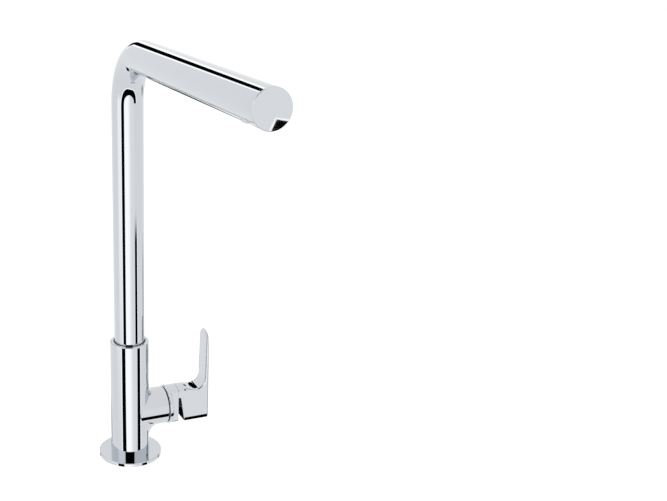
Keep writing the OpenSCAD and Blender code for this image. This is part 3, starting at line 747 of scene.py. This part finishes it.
def lever_shape(x, y, z):
    up = z - axis_z
    sides = np.hypot(y, np.maximum(up - tip_centre, 0)) - half_width
    inwards = np.abs(y) - half_width + SIDE_CURVE_R
    curve = np.hypot(inwards, np.maximum(curve_up - up, 0)) - SIDE_CURVE_R
    solid = both(np.maximum(sides, curve), lever_low.z - z, FLOOR_EASE)
    towards_tip = np.clip((up - tip_centre) / half_width, 0, 1)
    solid = both(solid, x - lever_high.x, BLADE_EASE + TIP_EASE * towards_tip)
    solid = both(solid, lever_low.x - x, HAIR)
    crown = np.hypot(y, np.maximum(up, 0)) - cap_r - CROWN_FADE * np.maximum(x - SCOOP_X, 0)
    solid = both(solid, crown, CROWN_EASE)
    round_part = SCOOP_R - np.hypot(x - SCOOP_X, up - SCOOP_UP)
    blade_face = lever_high.x - BLADE_ROOT + (up - SCOOP_UP) * blade_slope - x
    solid = both(solid, np.where(up < SCOOP_UP, round_part, blade_face), SCOOP_EASE)
    lean = lever_low.x + NOTCH_W + (NOTCH_UP - up) * NOTCH_LEAN
    notch = both(up - NOTCH_UP, x - lean, NOTCH_EASE)
    solid = both(solid, -notch, NOTCH_EDGE)
    stem = np.maximum(np.abs(y), np.abs(up)) - stem_high.y
    solid = both(solid, -np.maximum(stem - HAIR, x - stem_high.x - POCKET_DEEPER))
    plan = np.hypot(x - screw_x, y)
    plug_hole = np.maximum(plan - plug_r, z - lever_low.z - plug_depth)
    return both(solid, -np.minimum(np.maximum(plan - screw_r, up), plug_hole))


lever = carved("lever_blade", lever_shape, lever_low, lever_high, CARVE_STEP)
finish(lever, chrome, "lever", "chrome", "lever_handle")
# The stem takes the near-black steel: painted shade for the gap at the lever's root
dress(gap_shade_steel, "lever_stem")
dress(steel, "lever_grub_screw")

plug_low, plug_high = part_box("lever_screw_plug")
plug_r_out = (plug_high.x - plug_low.x) / 2
PLUG_EASE, SLIGHT = 0.25 * MM, 0.1 * MM
plug = turned("screw_plug_disc", eased_outline([
    (0, plug_low.z, 0), (plug_r_out, plug_low.z, PLUG_EASE), (plug_r_out, plug_high.z, SLIGHT),
    (0, plug_high.z, 0)]), 64)
plug.data.transform(Matrix.Translation((screw_x, 0, 0)))
smooth(plug)
finish(plug, chrome, "lever", "chrome", "lever_screw_plug")

# Index dot: a bead of dark plastic, pressed into the round top
dot_low, dot_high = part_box("lever_index_dot")
DOT_LEAN, DOT_R, DOT_UP, DOT_FOOT = math.radians(28.03), 0.85 * MM, 0.12 * MM, -1 * MM
dot = turned("index_dot_bead", eased_outline([
    (0, DOT_FOOT, 0), (DOT_R, DOT_FOOT, 0), (DOT_R, DOT_UP, SLIGHT), (0, DOT_UP, 0)]), 32)
dot.data.transform(Matrix.Translation(((dot_low.x + dot_high.x) / 2, 0, axis_z))
                   @ Matrix.Rotation(DOT_LEAN, 4, "X") @ Matrix.Translation((0, 0, cap_r)))
smooth(dot)
finish(dot, dark, "lever", "dark_plastic", "lever_index_dot")

# ---- Spout ----
# Drawn brass tube, bent once, ground and plated. Its foot is brazed on a turned journal with two
# seals, and a plated disc closes the far end.


def new_nodes(name, **inputs):
    """Geometry node group with those named inputs: its tree, its input node and its output node."""
    kinds = {float: "NodeSocketFloat", int: "NodeSocketInt", tuple: "NodeSocketVector"}
    tree = bpy.data.node_groups.new(name, "GeometryNodeTree")
    tree.interface.new_socket("Geometry", in_out="INPUT", socket_type="NodeSocketGeometry")
    for key, value in inputs.items():
        socket = tree.interface.new_socket(key.replace("_", " "), in_out="INPUT",
                                           socket_type=kinds[type(value)])
        socket.default_value = value
    tree.interface.new_socket("Material", in_out="INPUT", socket_type="NodeSocketMaterial")
    tree.interface.new_socket("Geometry", in_out="OUTPUT", socket_type="NodeSocketGeometry")
    return tree, tree.nodes.new("NodeGroupInput"), tree.nodes.new("NodeGroupOutput")


def close_nodes(tree, given, result, geometry):
    """Ends a group: real geometry with the given material."""
    real = add(tree, "GeometryNodeRealizeInstances", Geometry=geometry)
    dressed = add(tree, "GeometryNodeSetMaterial", Geometry=real.outputs[0],
                  Material=given.outputs["Material"])
    tree.links.new(dressed.outputs[0], result.inputs["Geometry"])


def grown(piece, tree, material, **values):
    """The piece's mesh after the node group, as a plain mesh."""
    grow = piece.modifiers.new("grow", "NODES")
    grow.node_group = tree
    values["Material"] = material
    for item in tree.interface.items_tree:
        if item.in_out == "INPUT" and item.name.replace(" ", "_") in values:
            grow[item.identifier] = values[item.name.replace(" ", "_")]
    evaluated = piece.evaluated_get(bpy.context.evaluated_depsgraph_get())
    mesh = bpy.data.meshes.new_from_object(evaluated)
    piece.modifiers.remove(grow)
    piece.data = mesh
    return piece


# Two paths through the same bend: one for the outside, and a longer one for the bore
tube_low, tube_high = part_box("spout_tube")
tube_r, wall = tube_high.x, 1.5 * MM
arm_z, bend = tube_high.z - tube_r, 40 * MM
paths = []
for past in (0, OVER):
    paths += [(0, 0, tube_low.z - past), (0, 0, arm_z), (0, tube_low.y - past, arm_z)]
lines = bpy.data.meshes.new("tube_path")
lines.from_pydata(paths, [(0, 1), (1, 2), (3, 4), (4, 5)], [])
bore_mark = lines.attributes.new("bore", "BOOLEAN", "POINT")
for i, point in enumerate(bore_mark.data):
    point.value = i > 2
spout = bpy.data.objects.new("spout_bent_tube", lines)
bpy.context.scene.collection.objects.link(spout)

socket_low, socket_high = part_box("outlet_socket")
outlet_y = (socket_low.y + socket_high.y) / 2
outlet_r = socket_high.x + HAIR
tree, given, result = new_nodes("bent_tube", Radius=0.0125, Wall=0.0015, Bend=0.04, Bend_Steps=48,
                                Sides=160, Outlet_Radius=0.01, Outlet_Place=(0.0, 0.0, 0.0))
mark = add(tree, "GeometryNodeInputNamedAttribute", {"data_type": "BOOLEAN"}, Name="bore")
split = add(tree, "GeometryNodeSeparateGeometry", Geometry=given.outputs["Geometry"],
            Selection=mark.outputs[0])
bore_radius = calc(tree, "SUBTRACT", given.outputs["Radius"], given.outputs["Wall"])
swept = []
for path, radius in ((split.outputs["Inverted"], given.outputs["Radius"]),
                     (split.outputs["Selection"], bore_radius)):
    curve = add(tree, "GeometryNodeMeshToCurve", Mesh=path)
    bent = add(tree, "GeometryNodeFilletCurve", {"mode": "POLY"}, Curve=curve.outputs[0],
               Count=given.outputs["Bend Steps"], Radius=given.outputs["Bend"])
    ring = add(tree, "GeometryNodeCurvePrimitiveCircle", Resolution=given.outputs["Sides"],
               Radius=radius)
    rod_made = add(tree, "GeometryNodeCurveToMesh", Curve=bent.outputs[0],
                   Profile_Curve=ring.outputs[0], Fill_Caps=True)
    swept.append(rod_made.outputs[0])
hole = add(tree, "GeometryNodeMeshCylinder", Vertices=96, Radius=given.outputs["Outlet Radius"],
           Depth=tube_r)
placed = add(tree, "GeometryNodeTransform", Geometry=hole.outputs["Mesh"],
             Translation=given.outputs["Outlet Place"])
hollowed = add(tree, "GeometryNodeMeshBoolean", {"operation": "DIFFERENCE", "solver": "EXACT"},
               n0=swept[0])
tree.links.new(swept[1], hollowed.inputs[1])
tree.links.new(placed.outputs[0], hollowed.inputs[1])
close_nodes(tree, given, result, hollowed.outputs[0])
grown(spout, tree, chrome, Radius=tube_r, Wall=wall, Bend=bend, Outlet_Radius=outlet_r,
      Outlet_Place=(0.0, outlet_y, arm_z - tube_r))
smooth(spout)
finish(spout, chrome, "spout", "chrome", "spout_tube")
dress(brass, "spout_journal")
dress(rubber, "spout_o_rings")

# End cap: a lathed disc and its plug, laid along the arm
end_low, end_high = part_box("spout_end_cap")
CAP_T, END_EASE, BACK_EASE = 3 * MM, 0.5 * MM, 0.12 * MM
PLUG_R, PLUG_END_EASE = 10.95 * MM, 0.3 * MM
end_depth = end_high.y - end_low.y
end_cap = turned("arm_end_disc", eased_outline([
    (0, 0, 0), (end_high.x, 0, END_EASE), (end_high.x, CAP_T, BACK_EASE), (PLUG_R, CAP_T, 0),
    (PLUG_R, end_depth, PLUG_END_EASE), (0, end_depth, 0)]))
along_arm = Matrix.Translation((0, end_low.y, arm_z)) @ Matrix.Rotation(math.radians(-90), 4, "X")
end_cap.data.transform(along_arm)
smooth(end_cap)
finish(end_cap, chrome, "spout", "chrome", "spout_end_cap")

# ---- Outlet ----
# Plated socket in the arm with the aerator in it: a housing with key slots for fitting it, a white
# jet insert, a steel screen of six-sided holes, and a rubber washer.
dress(chrome, "outlet_socket")
dress(white_plastic, "aerator_insert")
dress(rubber, "aerator_washer")
housing_low, housing_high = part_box("aerator_housing")
MOUTH_R, MOUTH_H, INSIDE_R = 7.05 * MM, 1.2 * MM, 7.85 * MM
MOUTH_EASE, HOUSING_EASE = 0.25 * MM, 0.4 * MM
SLOT_COUNT, SLOT_OUT, SLOT_R, SLOT_DEPTH = 16, 0.15 * MM, 0.5 * MM, 1.4 * MM
aerator = turned("aerator_ring", eased_outline([
    (MOUTH_R, housing_low.z, MOUTH_EASE), (housing_high.x, housing_low.z, HOUSING_EASE),
    (housing_high.x, housing_high.z, SLIGHT), (INSIDE_R, housing_high.z, 0),
    (INSIDE_R, housing_low.z + MOUTH_H, 0), (MOUTH_R, housing_low.z + MOUTH_H, 0)]), 128)
tree, given, result = new_nodes("key_slots", Count=16, Ring_Radius=0.0085, Slot_Radius=0.0004,
                                Depth=0.002, Height=0.0)
circle = add(tree, "GeometryNodeMeshCircle", Vertices=given.outputs["Count"],
             Radius=given.outputs["Ring Radius"])
lift = add(tree, "ShaderNodeCombineXYZ", Z=given.outputs["Height"])
raised = add(tree, "GeometryNodeSetPosition", Geometry=circle.outputs[0], Offset=lift.outputs[0])
peg = add(tree, "GeometryNodeMeshCylinder", Vertices=16, Radius=given.outputs["Slot Radius"],
          Depth=given.outputs["Depth"])
pegs = add(tree, "GeometryNodeInstanceOnPoints", Points=raised.outputs[0],
           Instance=peg.outputs["Mesh"])
solid_pegs = add(tree, "GeometryNodeRealizeInstances", Geometry=pegs.outputs[0])
slotted = add(tree, "GeometryNodeMeshBoolean", {"operation": "DIFFERENCE", "solver": "EXACT"},
              n0=given.outputs["Geometry"])
tree.links.new(solid_pegs.outputs[0], slotted.inputs[1])
close_nodes(tree, given, result, slotted.outputs[0])
grown(aerator, tree, chrome, Count=SLOT_COUNT, Ring_Radius=MOUTH_R + SLOT_OUT, Slot_Radius=SLOT_R,
      Depth=SLOT_DEPTH, Height=housing_low.z)
aerator.data.transform(Matrix.Translation((0, outlet_y, 0)))
smooth(aerator)
finish(aerator, chrome, "spout", "chrome", "aerator_housing")

# The screen's holes sit on a honeycomb of points
screen_low, screen_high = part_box("aerator_screen")
screen_r, screen_t = screen_high.x, screen_high.z - screen_low.z
PITCH, HOLE_R, MARGIN = 1.25 * MM, 0.52 * MM, 1.1 * MM
comb = []
for row in range(-7, 8):
    for step in range(-8, 9):
        place = ((step + 0.5 * (row % 2)) * PITCH, row * PITCH * math.sqrt(0.75), 0)
        if math.hypot(*place) < screen_r - MARGIN:
            comb.append(place)
screen = mesh_piece("aerator_comb", comb, [])
tree, given, result = new_nodes("comb_screen", Radius=0.0078, Thickness=0.0011, Hole_Radius=0.0005)
plate = add(tree, "GeometryNodeMeshCylinder", Vertices=96, Radius=given.outputs["Radius"],
            Depth=given.outputs["Thickness"])
tool = add(tree, "GeometryNodeMeshCylinder", Vertices=6, Radius=given.outputs["Hole Radius"],
           Depth=0.004)
tools = add(tree, "GeometryNodeInstanceOnPoints", Points=given.outputs["Geometry"],
            Instance=tool.outputs["Mesh"])
solid_tools = add(tree, "GeometryNodeRealizeInstances", Geometry=tools.outputs[0])
pierced = add(tree, "GeometryNodeMeshBoolean", {"operation": "DIFFERENCE", "solver": "EXACT"},
              n0=plate.outputs["Mesh"])
tree.links.new(solid_tools.outputs[0], pierced.inputs[1])
close_nodes(tree, given, result, pierced.outputs[0])
grown(screen, tree, steel, Radius=screen_r, Thickness=screen_t, Hole_Radius=HOLE_R)
screen.data.transform(Matrix.Translation((0, outlet_y, screen_low.z + screen_t / 2)))
smooth(screen)
finish(screen, steel, "spout", "steel", "aerator_screen")
